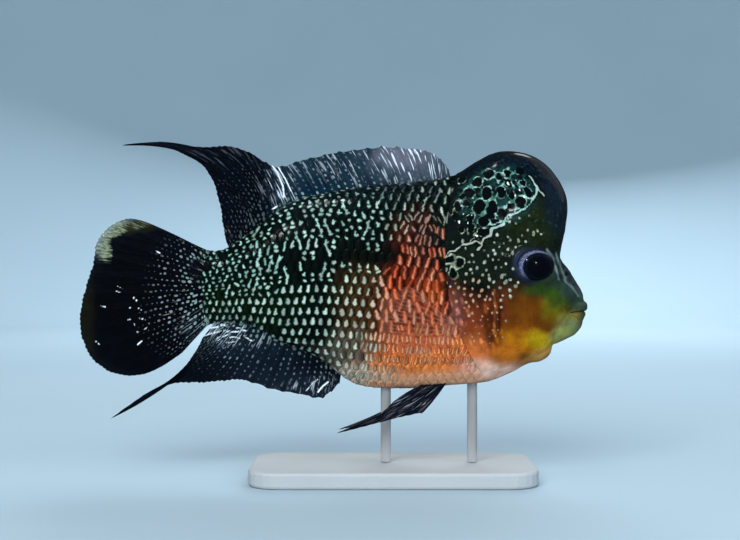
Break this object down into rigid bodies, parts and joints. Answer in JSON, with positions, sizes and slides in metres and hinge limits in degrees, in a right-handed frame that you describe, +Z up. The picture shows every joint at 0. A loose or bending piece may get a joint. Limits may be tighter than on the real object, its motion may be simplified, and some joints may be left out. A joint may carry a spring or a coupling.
{
  "type": "flowerhorn cichlid model",
  "caption": "Life-size flowerhorn cichlid with a large forehead hump, trailing fins and pearl-dotted scales, held level on a plain plate with short rods.",
  "frame": {"origin": "centre of the bounding box in X and Y, on the underside of the stand's plate", "axes": "+X from the tail to the snout, +Y to the fish's left, +Z up from the belly to the back"},
  "size_m": [0.2232, 0.062, 0.148],
  "materials": {
    "skin": "wet gloss, dark green-black with pale dots and an orange flank",
    "fin": "wet gloss, blue-black membrane with pale dots",
    "clear_fin": "clear orange-tinted membrane",
    "eye": "polished, dark with a lavender ring",
    "plate": "satin",
    "rod": "brushed"
  },
  "bodies": {
    "root": {"head": "skin", "nuchal_hump": "skin", "lower_jaw": "skin", "gill_cover_left": "skin", "gill_cover_right": "skin", "torso": "skin", "tail_stem": "skin", "eye_left": "eye", "eye_right": "eye", "dorsal_fin": "fin", "anal_fin": "fin", "caudal_fin": "fin", "pelvic_fin_left": "fin", "pelvic_fin_right": "fin", "pectoral_fin_left": "clear_fin", "pectoral_fin_right": "clear_fin", "stand_base": "plate", "stand_rod_front": "rod", "stand_rod_rear": "rod"}
  },
  "joints": []
}
